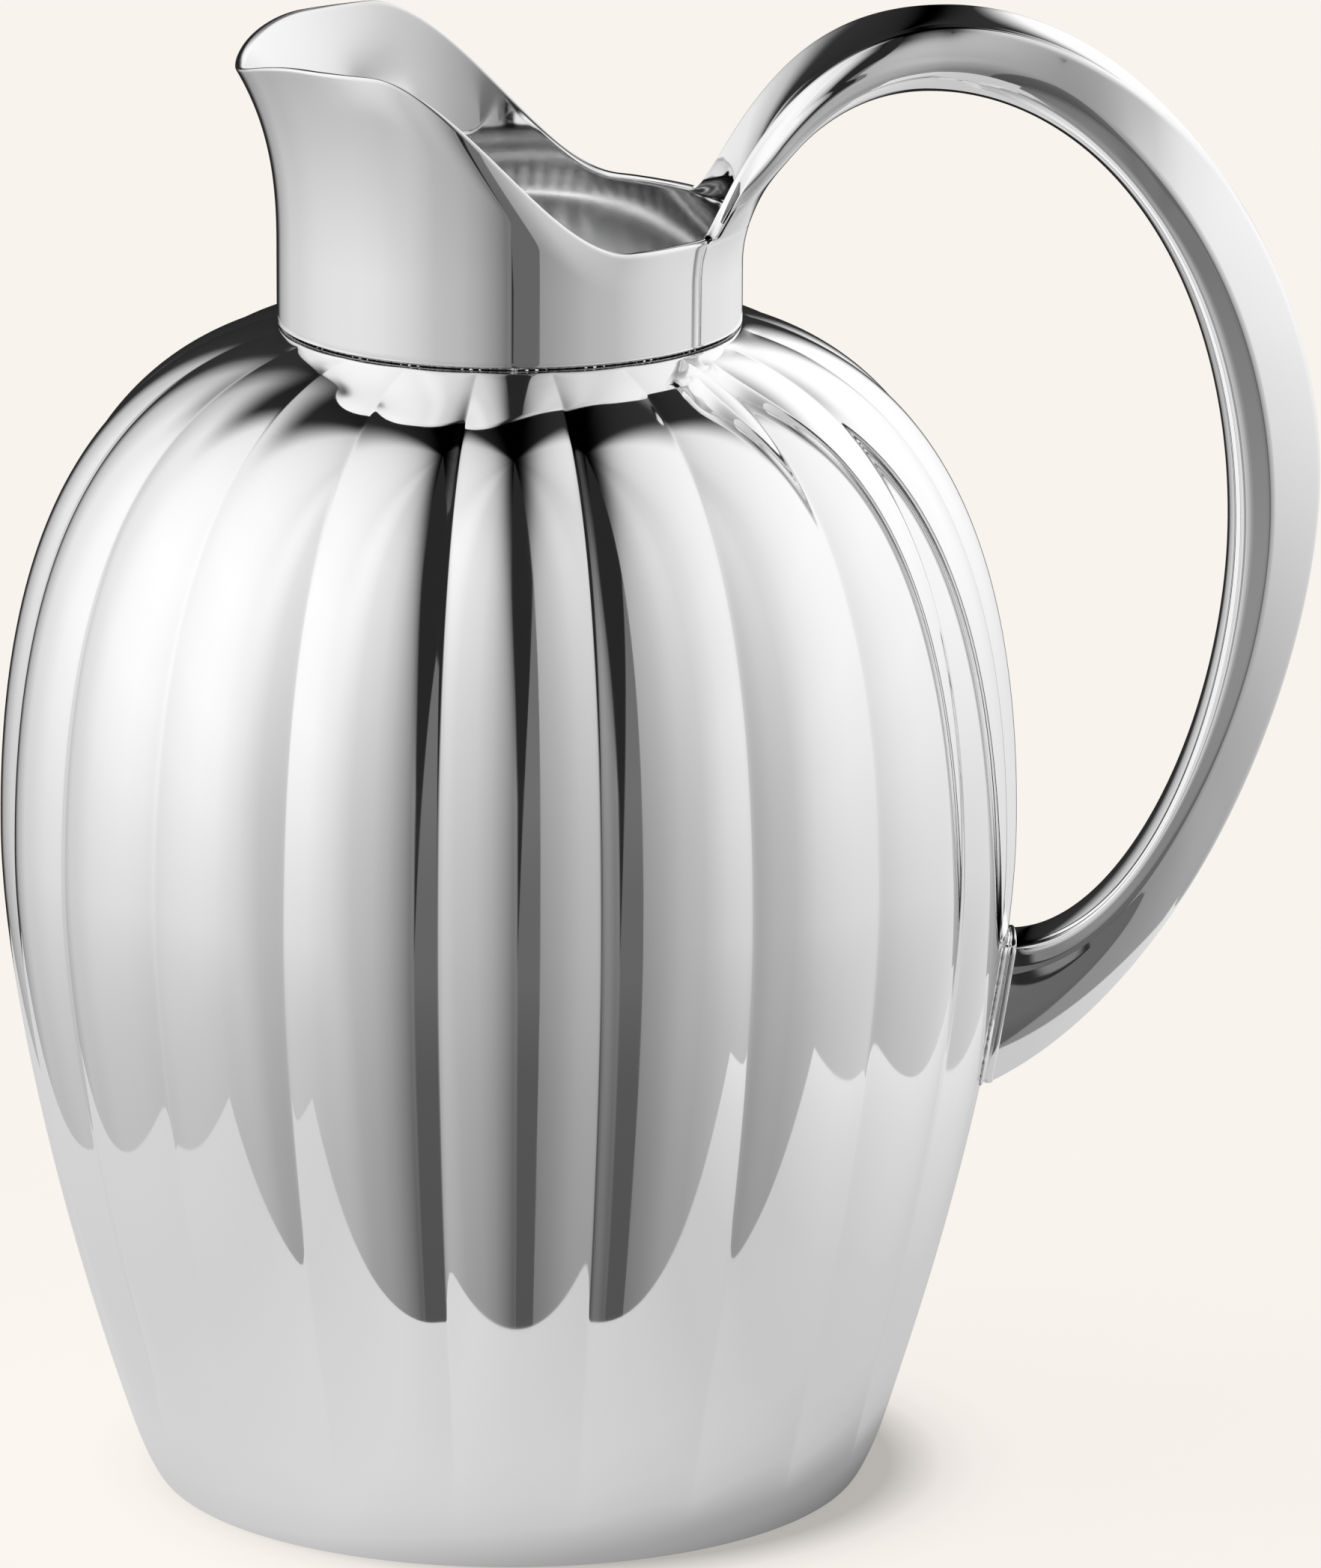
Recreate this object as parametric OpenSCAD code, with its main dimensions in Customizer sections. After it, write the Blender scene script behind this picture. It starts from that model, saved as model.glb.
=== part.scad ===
// Fluted water pitcher: a lobed sheet-metal belly, a smooth collar with a swept
// spout, and a hollow loop handle. Millimetres, +Z up, base on z = 0.
// +X is the handle side and -X is the spout side.

/* [Belly] */
// Widest radius, on the crest of a lobe
belly_r = 75; // [50:0.5:100]
// Height of the widest ring
belly_z = 98.5; // [60:0.5:140]
// Radius of the flat that the pitcher stands on
base_r = 52; // [35:0.5:70]
// How far the profile runs out before it turns up from the base
corner_pull = 3.5; // [1:0.5:15]
// How long the lower side stays upright below the widest ring
low_pull = 35.5; // [10:0.5:60]
// How long the upper side stays upright above the widest ring
high_pull = 53; // [20:0.5:70]
// Length of the shoulder's run into the collar
shoulder_pull = 22; // [5:0.5:40]
// Slope of the shoulder where it meets the collar, in degrees
shoulder_slope = 14; // [0:1:60]
// Number of lobes round the belly
lobes = 20; // [8:1:36]
// Depth of the crease between two lobes, as a share of the radius
lobe_depth = 0.022; // [0:0.001:0.05]
// Sheet thickness of the belly
wall = 1.0; // [0.6:0.1:2]

/* [Collar] */
// Outer radius of the collar
neck_r = 34; // [25:0.5:50]
// Height of the seam between belly and collar
seam_z = 174; // [120:0.5:200]
// Height of the groove that the collar's weld sits in
groove_h = 0.5; // [0.2:0.1:1.5]
// Sheet thickness of the collar
neck_wall = 1.4; // [0.8:0.1:2.5]
// Height of the rim beside the handle
rim_low_z = 190.2; // [180:0.1:220]
// Height of the rim over the spout
rim_high_z = 216; // [190:0.5:250]
// Drop of the rim at the very tip of the spout
tip_drop = 3.5; // [0:0.5:10]
// How far the rim flares out at its highest
flare = 2.6; // [0:0.1:12]
// How far the spout's beak runs out beyond the flare
beak = 3.6; // [0:0.1:10]
// How far the collar leans out under the handle's root
back_flare = 1.1; // [0:0.1:4]
// How far the sloping rim curls in
curl = 0.9; // [0:0.1:1.1]

/* [Handle] */
// Reach of the handle's outer edge from the pitcher's axis
reach = 119.0; // [90:0.5:150]
// Height of the handle's furthest point
reach_z = 150; // [110:0.5:180]
// Reach of the top of the handle from the pitcher's axis
crown_x = 64; // [45:0.5:90]
// Height of the top of the handle
crown_z = 219.2; // [190:0.2:260]
// Depth of the handle's section at its crown
crown_depth = 10.6; // [5:0.2:16]
// Depth of the handle's section at its furthest point
grip_depth = 13.4; // [6:0.2:20]
// Half of the distance between the handle's two ridges where it leaves the rim
root_half_w = 19.1; // [10:0.1:26]
// Half of the distance between the ridges just above the rim
stem_half_w = 13.5; // [9:0.1:20]
// Half of the distance between the ridges at the crown
crown_half_w = 9.4; // [5:0.1:15]
// Half of the width of the keel that the ridges run into
keel_half_w = 1.1; // [0.8:0.1:4]
// Half of the width of the keel at the foot
keel_foot_half_w = 5.4; // [0.8:0.1:6]
// Half of the handle's greatest width along the grip
grip_half_w = 6.9; // [4:0.1:12]
// Half of the handle's greatest width at the foot
foot_half_w = 6.3; // [4:0.1:12]
// Height of the handle's lower tip on the belly
foot_low_z = 59.6; // [30:0.2:100]
// Height of the handle's inner corner on the belly
foot_high_z = 81.3; // [60:0.2:120]
// Sheet thickness of the handle's two halves
handle_wall = 0.7; // [0.4:0.1:1.5]

/* [Base] */
// Radius of the disc that closes the base
pan_r = 46; // [30:0.5:60]
// Thickness of the base disc
pan_t = 1.0; // [0.6:0.1:2]

/* [Hidden] */
steel = [0.80, 0.80, 0.80];
weld_steel = [0.45, 0.45, 0.45];
lobe_pitch = 360 / lobes;
around = lobes * 5;
collar_around = 72;
seat_r = neck_r - neck_wall;
collar_z = seam_z + groove_h;
weld_inset = 0.4;
pan_weld_h = 0.6;
saddle_t = 1.2;
seam_w = 1.2;
braze_h = 0.3;
braze_angle = 34;
fillet = 0.7;
gap = 0.03;
flare_z = 186;
back_flare_z = 183;
curl_reach = 6;
crescent_dip = 6.2;
channel_dip = 0.9;
keel_crown = 0.2;

// ---- curves ----------------------------------------------------------------

// Point on a cubic curve through a and d, pulled toward b and c
function cubic(a, b, c, d, t) =
    pow(1 - t, 3) * a + 3 * pow(1 - t, 2) * t * b + 3 * (1 - t) * t * t * c + pow(t, 3) * d;

// Rises from 0 at lo to 1 at hi with level ends
function ease(lo, hi, x) =
    let (t = max(0, min(1, (x - lo) / (hi - lo))))
    t * t * (3 - 2 * t);

function mix(a, b, t) = a + (b - a) * t;

// Spreads n + 1 values evenly from 0 to 1
function steps(n) = [for (i = [0 : n]) i / n];

// ---- closed surfaces from rings ---------------------------------------------

// Two triangles for the patch between points a, b on one ring and c, d on the next
function patch(a, b, c, d) = [[a, c, b], [b, c, d]];

// A tube of rings whose last ring joins the first, such as a sheet with two sides
module sheet_loop(rings) {
    count = len(rings);
    n = len(rings[0]);
    points = [for (ring = rings) each ring];
    faces = [for (k = [0 : count - 1]) for (i = [0 : n - 1])
        let (j = (i + 1) % n, m = (k + 1) % count)
        each patch(k * n + i, k * n + j, m * n + i, m * n + j)];
    polyhedron(points, faces, convexity = 6);
}

// A bar of rings with a flat cap at each end
module bar(rings) {
    count = len(rings);
    n = len(rings[0]);
    points = [for (ring = rings) each ring];
    sides = [for (k = [0 : count - 2]) for (i = [0 : n - 1])
        let (j = (i + 1) % n)
        each patch(k * n + i, k * n + j, (k + 1) * n + i, (k + 1) * n + j)];
    first = [for (i = [0 : n - 1]) i];
    last = [for (i = [n - 1 : -1 : 0]) (count - 1) * n + i];
    polyhedron(points, concat(sides, [first, last]), convexity = 6);
}

// ---- belly -----------------------------------------------------------------

// Belly profile as [radius, height]: s runs 0 to 1 below the widest ring, 1 to 2 above
function profile(s) = s <= 1
    ? cubic([base_r, 0], [base_r + corner_pull, 0],
            [belly_r, belly_z - low_pull], [belly_r, belly_z], s)
    : cubic([belly_r, belly_z], [belly_r, belly_z + high_pull],
            [neck_r + shoulder_pull * cos(shoulder_slope),
             seam_z - shoulder_pull * sin(shoulder_slope)],
            [neck_r, seam_z], s - 1);

// Profile moved inward by the distance d, square to itself
function inset_profile(s, d) =
    let (h = 0.002,
         run = profile(min(2, s + h)) - profile(max(0, s - h)),
         side = [run[1], -run[0]] / norm(run))
    profile(s) - d * side;

// Place across a lobe at the angle a: 0 on the crest, 1 or -1 in the crease
function across_lobe(a) = 2 * (a / lobe_pitch - round(a / lobe_pitch));

// Share of the radius that the lobes take off at the angle a
function lobe_cut(a, s) =
    lobe_depth * pow(across_lobe(a), 2) * ease(0.18, 0.42, s) * (1 - ease(1.94, 1.99, s));

function belly_ring(s, inset) =
    let (p = inset_profile(s, inset))
    [for (i = [0 : around - 1])
        let (a = i * 360 / around, r = p[0] * (1 - lobe_cut(a, s)))
        [r * cos(a), r * sin(a), p[1]]];

function round_ring(r, z) =
    [for (i = [0 : around - 1]) let (a = i * 360 / around) [r * cos(a), r * sin(a), z]];

module body_shell() {
    outer = concat([for (t = steps(13)) belly_ring(t, 0)],
                   [for (t = steps(13)) if (t > 0) belly_ring(1 + t, 0)]);
    inner = concat([for (t = steps(8)) if (t < 1) belly_ring(2 - t, wall)],
                   [for (t = steps(8)) if (t < 1) belly_ring(1 - t, wall)]);
    color(steel) sheet_loop(concat(
        [round_ring(pan_r, 0)], outer, [round_ring(seat_r, seam_z)],
        [round_ring(seat_r, seam_z - wall)], inner, [round_ring(pan_r, wall)]));
}

// Radius of the crest at the height z below the widest ring, by halving
function crest_search(z, lo, hi, n) =
    let (mid = (lo + hi) / 2)
    n == 0 ? profile(mid)[0]
    : profile(mid)[1] < z ? crest_search(z, mid, hi, n - 1)
    : crest_search(z, lo, mid, n - 1);
function crest_r(z) = crest_search(z, 0, 1, 16);

// ---- base ------------------------------------------------------------------

module base_pan() {
    color(steel) cylinder(r = pan_r - weld_inset, h = pan_t, $fn = 96);
}

module base_seam_weld() {
    color(weld_steel) rotate_extrude($fn = 96)
        translate([pan_r - weld_inset, (pan_t - pan_weld_h) / 2])
            square([weld_inset, pan_weld_h]);
}

// ---- collar ----------------------------------------------------------------

// Angle from the spout's tip, 0 at the spout and 180 at the handle
function from_spout(a) = 180 - abs(((a + 180) % 360 + 360) % 360 - 180);

// Height of the rim at an angle from the spout
function rim_z(f) =
    mix(rim_high_z, rim_low_z, ease(55, 120, f)) - tip_drop * (1 - ease(0, 38, f))
    - braze_h * ease(138, 144, f);

// How strongly the wall curls in near the sloping rim, 1 at its edge
function curl_at(f, z) =
    pow(max(0, 1 - max(0, rim_z(f) - z) / curl_reach), 2)
    * ease(35, 60, f) * (1 - ease(100, 125, f));

// Outer radius of the collar at an angle from the spout and a height
function collar_r(f, z) =
    let (rise = max(0, (z - flare_z) / (rim_high_z - tip_drop - flare_z)),
         climb = max(0, (z - back_flare_z) / (rim_low_z - back_flare_z)),
         front = pow(0.5 + 0.5 * cos(min(f, 75) * 2.4), 2),
         back = pow(cos(min(90, (180 - f) * 1.8)), 2))
    neck_r + flare * (1 - 0.35 * ease(30, 110, f)) * pow(rise, 2)
    + beak * front * pow(rise, 3) + back_flare * back * pow(climb, 2);

function collar_ring(t, inset) =
    [for (i = [0 : collar_around - 1])
        let (a = i * 360 / collar_around, f = from_spout(a),
             z = mix(collar_z, rim_z(f), t),
             r = collar_r(f, z) - (inset > 0 ? inset : curl * curl_at(f, z)))
        [r * cos(a), r * sin(a), z]];

module neck_collar() {
    color(steel) sheet_loop(concat(
        [for (t = steps(10)) collar_ring(t, 0)],
        [for (t = steps(10)) collar_ring(1 - t, neck_wall)]));
}

module neck_seam_weld() {
    color(weld_steel) rotate_extrude($fn = 144)
        translate([seat_r, seam_z]) square([neck_wall - weld_inset, groove_h]);
}

// ---- handle ----------------------------------------------------------------

// Outer edge of the handle as [x, z]: u runs 0 to 1 to the crown, to 2 at the
// furthest point and to 3 at the foot
root_x = 27.3;
foot_low_x = crest_r(foot_low_z) + saddle_t;
foot_high_x = crest_r(foot_high_z) + saddle_t;
foot_slope = 27;
function outer_edge(u) =
    u <= 1 ? cubic([root_x, rim_low_z], [root_x + 3, rim_low_z],
                   [crown_x - 27, crown_z], [crown_x, crown_z], u)
    : u <= 2 ? cubic([crown_x, crown_z], [crown_x + 29, crown_z],
                     [reach, reach_z + 34.5], [reach, reach_z], u - 1)
    : cubic([reach, reach_z], [reach, reach_z - 29],
            [foot_low_x, foot_low_z] + 32 * [cos(foot_slope), sin(foot_slope)],
            [foot_low_x, foot_low_z], u - 2);

// Inner side of the handle, matched to the outer edge by u
inner_root_x = neck_r + back_flare;
inner_crown_x = crown_x - 4;
inner_crown_z = crown_z - crown_depth;
inner_reach_x = reach - grip_depth;
inner_reach_z = reach_z - 7;
function inner_edge(u) =
    u <= 1 ? cubic([inner_root_x, rim_low_z], [inner_root_x + 1.9, rim_low_z + 5.7],
                   [inner_crown_x - 17, inner_crown_z], [inner_crown_x, inner_crown_z], u)
    : u <= 2 ? cubic([inner_crown_x, inner_crown_z], [inner_crown_x + 26, inner_crown_z],
                     [inner_reach_x, inner_reach_z + 37.5], [inner_reach_x, inner_reach_z],
                     u - 1)
    : cubic([inner_reach_x, inner_reach_z], [inner_reach_x, inner_reach_z - 28],
            [foot_high_x + 17, foot_high_z], [foot_high_x, foot_high_z], u - 2);

function depth(u) = norm(inner_edge(u) - outer_edge(u));

// Half of the distance between the ridges, which close into a keel past the crown; just
// above the rim they run in fast
function ridge_half(u) =
    let (x = outer_edge(min(u, 1))[0],
         stem = stem_half_w + (root_half_w - stem_half_w) * exp(-(x - root_x) / 2.6),
         keel = mix(keel_half_w, keel_foot_half_w, ease(1.9, 2.7, u)))
    mix(mix(stem, crown_half_w, ease(40, crown_x, x)), keel, ease(1.2, 1.6, u));

// Half of the width at the seams, which run in from the root to the grip
function seam_half(u) =
    let (x = outer_edge(min(u, 2))[0], left = min(1, (reach - x) / (reach - root_x)))
    mix(mix(grip_half_w, root_half_w + 0.4, pow(left, 1.8)), foot_half_w, ease(2.4, 3, u));

// Depth of the seams below the ridges
function seam_depth(u) =
    let (share = mix(mix(0.16, 0.5, ease(0, 0.8, u)), 0.55, ease(1, 1.6, u)))
    depth(u) * mix(share, 0.8, ease(2.2, 3, u));

// How far the face between the ridges is dished; at the foot it is a little crowned
function dish(u) =
    mix(crescent_dip, channel_dip, ease(0, 0.75, u)) * (1 - ease(1.3, 1.6, u))
    - keel_crown * ease(2.5, 3, u);

handle_steps = [for (i = [0 : 45]) i / 15];

// Turns [across, depth] pairs of one section into points round the station u
function station(u, section) =
    let (top = outer_edge(u), low = inner_edge(u), down = (low - top) / norm(low - top))
    [for (p = section) [top[0] + down[0] * p[1], p[0], top[1] + down[1] * p[1]]];

side_places = [for (i = [-5 : 5]) sin(i * 18)];

// Face between the ridges, with the side below each; t moves it into the sheet, whose
// edges are cut a little askew
function outer_path(u, t) =
    let (w = seam_half(u), low = seam_depth(u) - seam_w / 2 - t / 10, r = ridge_half(u),
         lean = (w - r) / seam_depth(u), in = t * sqrt(1 + lean * lean),
         top = t * 1.3, corner = r + lean * top - in, foot = r + lean * low - in)
    concat([[-foot, low]], [for (v = side_places) [corner * v, top + dish(u) * (1 - v * v)]],
           [[foot, low]]);

function reversed(path) = [for (i = [len(path) - 1 : -1 : 0]) path[i]];

function plate_section(u) = concat(outer_path(u, 0), reversed(outer_path(u, handle_wall)));

// Rounded inner side from one seam to the other; t moves it into the sheet
function inner_path(u, t) =
    let (w = seam_half(u) - t, from = seam_depth(u) + seam_w / 2 + t / 10,
         deep = depth(u) - t - from, p = mix(2, 2.8, ease(0, 0.3, u)))
    [for (v = side_places)
        [w * v, max(from + deep * pow(1 - pow(abs(v), p), 1 / p),
                    (dish(u) + 3 * handle_wall - t) * (1 - v * v))]];

function channel_section(u) = concat(inner_path(u, handle_wall), reversed(inner_path(u, 0)));

function seam_section(u, side) =
    let (w = seam_half(u), d = seam_depth(u), h = seam_w / 2, t = handle_wall)
    [[side * (w - t), d - h], [side * w, d - h], [side * (w + 0.1), d], [side * w, d + h],
     [side * (w - t), d + h]];

module handle_back_plate() {
    color(steel) bar([for (u = handle_steps) station(u, plate_section(u))]);
}

module handle_inner_channel() {
    color(steel) bar([for (u = handle_steps) station(u, channel_section(u))]);
}

module handle_right_seam() {
    color(steel) bar([for (u = handle_steps) station(u, seam_section(u, -1))]);
}

module handle_left_seam() {
    color(steel) mirror([0, 1, 0]) handle_right_seam();
}

// Section of the braze between the collar's edge and the handle's root
function root_braze_section(a) =
    let (r = collar_r(from_spout(a), rim_low_z))
    [for (p = [[r, 0], [r - neck_wall, 0], [r - neck_wall, braze_h], [r, braze_h]])
        [p[0] * cos(a), p[0] * sin(a), rim_low_z - braze_h + p[1]]];

module handle_root_braze() {
    color(weld_steel)
        bar([for (i = [-8 : 8]) root_braze_section(braze_angle * i / 8)]);
}

// Belly surface at the height z and the distance y off the lobe's crest
function belly_x(z, y) =
    let (r = crest_r(z), a = asin(y / r))
    r * (1 - lobe_depth * pow(across_lobe(a), 2)) * cos(a) + gap;

// Half of the saddle's width at the share t of its height: widest at the seams
function saddle_half_w(t) =
    t < 0.8 ? mix(keel_foot_half_w, foot_half_w, t / 0.8) + 0.3
    : (foot_half_w + 0.3) * sqrt(1 - 20 * pow(t - 0.8, 2));

// Ring of the saddle: along the belly, then back along the face under the handle
function saddle_ring(t) =
    let (z = mix(foot_low_z, foot_high_z, t), w = saddle_half_w(t),
         x = mix(foot_low_x, foot_high_x, t) - gap)
    concat([for (i = [-3 : 3]) [belly_x(z, w * i / 3), w * i / 3, z]],
           [for (i = [2 : -1 : -2]) [x - 0.04 * i * i, w * i / 2, z]]);

module handle_foot_saddle() {
    color(steel) bar([for (t = steps(8)) saddle_ring(t)]);
}

// Fillet of braze along one side of the saddle
function fillet_ring(t) =
    let (z = mix(foot_low_z, foot_high_z, t), w = saddle_half_w(t) + gap)
    [[belly_x(z, w), w, z], [belly_x(z, w + fillet), w + fillet, z],
     [belly_x(z, w) + fillet, w, z]];

module handle_foot_braze() {
    color(weld_steel) {
        bar([for (t = steps(8)) fillet_ring(t)]);
        mirror([0, 1, 0]) bar([for (t = steps(8)) fillet_ring(t)]);
    }
}

// ---- drawing ---------------------------------------------------------------

body_shell();
base_pan();
base_seam_weld();
neck_collar();
neck_seam_weld();
handle_back_plate();
handle_inner_channel();
handle_left_seam();
handle_right_seam();
handle_root_braze();
handle_foot_saddle();
handle_foot_braze();
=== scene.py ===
"""Fluted metal water pitcher: final meshes, metal finishes, studio and camera.

Lengths are millimetres until a mesh is made, and angles are degrees. +X is the
handle side, -X is the spout side, and the base stands on z = 0.
"""

import math

import bpy
import numpy as np
from mathutils import Matrix, Vector


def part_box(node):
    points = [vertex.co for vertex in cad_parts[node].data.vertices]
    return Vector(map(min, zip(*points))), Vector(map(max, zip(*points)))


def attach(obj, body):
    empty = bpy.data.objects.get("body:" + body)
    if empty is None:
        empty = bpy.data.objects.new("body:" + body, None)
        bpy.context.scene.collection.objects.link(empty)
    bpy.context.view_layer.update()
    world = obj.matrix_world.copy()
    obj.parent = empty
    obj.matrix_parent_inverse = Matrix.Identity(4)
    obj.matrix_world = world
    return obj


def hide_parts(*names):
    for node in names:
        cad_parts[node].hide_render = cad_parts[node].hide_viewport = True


MM = 0.001
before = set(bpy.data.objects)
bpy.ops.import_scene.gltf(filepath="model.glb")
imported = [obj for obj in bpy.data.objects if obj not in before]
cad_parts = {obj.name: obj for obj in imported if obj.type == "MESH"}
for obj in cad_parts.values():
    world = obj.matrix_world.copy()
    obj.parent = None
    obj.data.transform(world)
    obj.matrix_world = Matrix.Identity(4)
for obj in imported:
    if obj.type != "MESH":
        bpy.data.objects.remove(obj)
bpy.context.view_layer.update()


def high(node, axis):
    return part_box(node)[1][axis] / MM


# ---- sizes, the same as the CAD model's where it has them -------------------------

BELLY_R = high("body_shell", 1)
SEAM_Z = high("body_shell", 2)
RIM_HIGH_Z = high("neck_collar", 2)
PAN_R = high("base_seam_weld", 0)
PAN_T = high("base_pan", 2)
BELLY_Z = 98.5
BASE_R = 52.0
CORNER_PULL = 3.5
LOW_PULL = 35.5
HIGH_PULL = 53.0
WALL = 1.0
LOBES = 20
LOBE_DEPTH = 0.022
CREASE_FILLET = 0.03

NECK_R = 34.0
NECK_WALL = 1.4
COLLAR_Z = SEAM_Z + 0.5
RIM_LOW_Z = 190.2
TIP_DROP = 3.5
FLARE_Z = 186.0
BACK_FLARE_Z = 183.0
FLARE = 2.6
BEAK = 3.6
BACK_FLARE = 1.1
CURL = 0.9
CURL_REACH = 6.0
LIP_R = NECK_WALL / 2
ROOT_ANGLE = 35.0
ROOT_Z = RIM_LOW_Z - LIP_R
ROOT_BAND = 0.3

RIDGE_START = np.array([27.3, RIM_LOW_Z])
CROWN = np.array([64.0, high("handle_back_plate", 2)])
GRIP = np.array([high("handle_back_plate", 0), 150.0])
GRIP_DEPTH = 13.4
CROWN_DEPTH = 10.6
HANDLE_SHEET = 0.6  # the CAD model has 0.7; only the hidden inner side differs
ROOT_HALF_W = 19.1
STEM_HALF_W = 13.5
CROWN_HALF_W = 9.4
KEEL_HALF_W = 1.1
KEEL_FOOT_HALF_W = 5.4
GRIP_HALF_W = 6.9
FOOT_HALF_W = 6.3
FOOT_LOW_Z = 59.6
FOOT_HIGH_Z = 81.3
FOOT_SLOPE = 27.0
SADDLE_T = 1.2


# ---- curves -------------------------------------------------------------------


def ease(low, top, x):
    """Rises from 0 at low to 1 at top with level ends."""
    t = np.clip((x - low) / (top - low), 0, 1)
    return t * t * (3 - 2 * t)


def mix(a, b, t):
    return a + (b - a) * t


def cubic(a, b, c, d, t):
    """Points on a cubic curve through a and d, pulled toward b and c."""
    t = np.asarray(t, float)[..., None]
    return (1 - t) ** 3 * a + 3 * (1 - t) ** 2 * t * b + 3 * (1 - t) * t**2 * c + t**3 * d


def polar(r, degrees):
    a = np.radians(degrees)
    return np.stack([r * np.cos(a), r * np.sin(a)], axis=-1)


def unit(v):
    return v / np.maximum(np.linalg.norm(v, axis=-1, keepdims=True), 1e-12)


def slope(curve, x, h=1e-3):
    """How fast curve(x) changes, by a central difference."""
    return (curve(x + h) - curve(x - h)) / (2 * h)


# ---- meshes from grids of points ----------------------------------------------


def grid_normals(points, wrap_rows, wrap_columns):
    """Normals of a grid's points, from the faces around each, larger faces weighing more."""
    p = points
    if wrap_rows:
        p = np.concatenate([p, p[:1]], axis=0)
    if wrap_columns:
        p = np.concatenate([p, p[:, :1]], axis=1)
    faces = np.cross(p[1:, 1:] - p[:-1, :-1], p[1:, :-1] - p[:-1, 1:])
    total = np.zeros_like(p)
    total[:-1, :-1] += faces
    total[1:, :-1] += faces
    total[:-1, 1:] += faces
    total[1:, 1:] += faces
    if wrap_columns:
        total[:, 0] += total[:, -1]
        total = total[:, :-1]
    if wrap_rows:
        total[0] += total[-1]
        total = total[:-1]
    return unit(total)


def grid_faces(rows, columns, wrap_rows, wrap_columns, first=0):
    k = np.arange(rows if wrap_rows else rows - 1)[:, None]
    i = np.arange(columns if wrap_columns else columns - 1)[None, :]
    k2 = (k + 1) % rows
    i2 = (i + 1) % columns
    corners = [k * columns + i, k * columns + i2, k2 * columns + i2, k2 * columns + i]
    return (np.stack(corners, axis=-1).reshape(-1, 4) + first).tolist()


def make_piece(name, points, normals, faces, material, stands_for):
    """A mesh object in metres that rides on the root body and stands for a CAD node."""
    mesh = bpy.data.meshes.new(name)
    mesh.from_pydata((points.reshape(-1, 3) * MM).tolist(), [], faces)
    mesh.update()
    mesh.shade_smooth()
    mesh.normals_split_custom_set_from_vertices(normals.reshape(-1, 3).tolist())
    mesh.materials.append(material)
    piece = bpy.data.objects.new(name, mesh)
    bpy.context.scene.collection.objects.link(piece)
    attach(piece, "root")
    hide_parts(stands_for)
    return piece


def ring_piece(name, points, material, stands_for, normals=None):
    """A sheet with two sides: its rows and its columns both join up."""
    if normals is None:
        normals = grid_normals(points, True, True)
    faces = grid_faces(points.shape[0], points.shape[1], True, True)
    return make_piece(name, points, normals, faces, material, stands_for)


def bar_piece(name, points, normals, material, stands_for):
    """A bar of closed rows with a flat cap at each end."""
    rows, columns = points.shape[:2]
    faces = grid_faces(rows, columns, False, True)
    faces.append(list(range(columns))[::-1])
    faces.append(list(range((rows - 1) * columns, rows * columns)))
    return make_piece(name, points, normals, faces, material, stands_for)


# ---- belly --------------------------------------------------------------------

NECK_POINT = np.array([NECK_R, SEAM_Z])
SHOULDER_PULL = 22 * np.array([math.cos(math.radians(14)), -math.sin(math.radians(14))])


def profile(s):
    """Belly profile as [radius, height]: s runs 0 to 1 below the widest ring, 1 to 2 above."""
    s = np.asarray(s, float)
    below = cubic(
        np.array([BASE_R, 0]), np.array([BASE_R + CORNER_PULL, 0]),
        np.array([BELLY_R, BELLY_Z - LOW_PULL]), np.array([BELLY_R, BELLY_Z]),
        np.clip(s, 0, 1),
    )
    above = cubic(
        np.array([BELLY_R, BELLY_Z]), np.array([BELLY_R, BELLY_Z + HIGH_PULL]),
        NECK_POINT + SHOULDER_PULL, NECK_POINT,
        np.clip(s - 1, 0, 1),
    )
    return np.where((s <= 1)[..., None], below, above)


def lobe_cut(angle, s):
    """Share of the radius that the lobes take off, with a small fillet in each crease."""
    turn = angle * LOBES / 360
    from_crease = 1 - np.abs(2 * (turn - np.round(turn)))
    rounded = np.sqrt(from_crease**2 + CREASE_FILLET**2)
    shape = (1 - np.minimum(rounded, 1)) ** 2
    return LOBE_DEPTH * shape * ease(0.18, 0.42, s) * (1 - ease(1.955, 1.995, s))


def belly_points(s, inset, angles):
    """Rings of the belly's sheet at the places s, moved in by inset square to the profile."""
    run = slope(profile, np.clip(s, 2e-3, 2 - 2e-3))
    side = unit(np.stack([run[..., 1], -run[..., 0]], axis=-1))
    place = profile(s) - inset * side
    r = place[:, :1] * (1 - lobe_cut(angles[None, :], s[:, None]))
    z = np.broadcast_to(place[:, 1:], r.shape)
    return np.concatenate([polar(r, angles[None, :]), z[..., None]], axis=-1)


def round_rings(places, angles):
    """Plain round rings at [radius, height] places."""
    places = np.asarray(places, float)
    r = np.broadcast_to(places[:, :1], (len(places), len(angles)))
    z = np.broadcast_to(places[:, 1:], r.shape)
    return np.concatenate([polar(r, angles[None, :]), z[..., None]], axis=-1)


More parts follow.
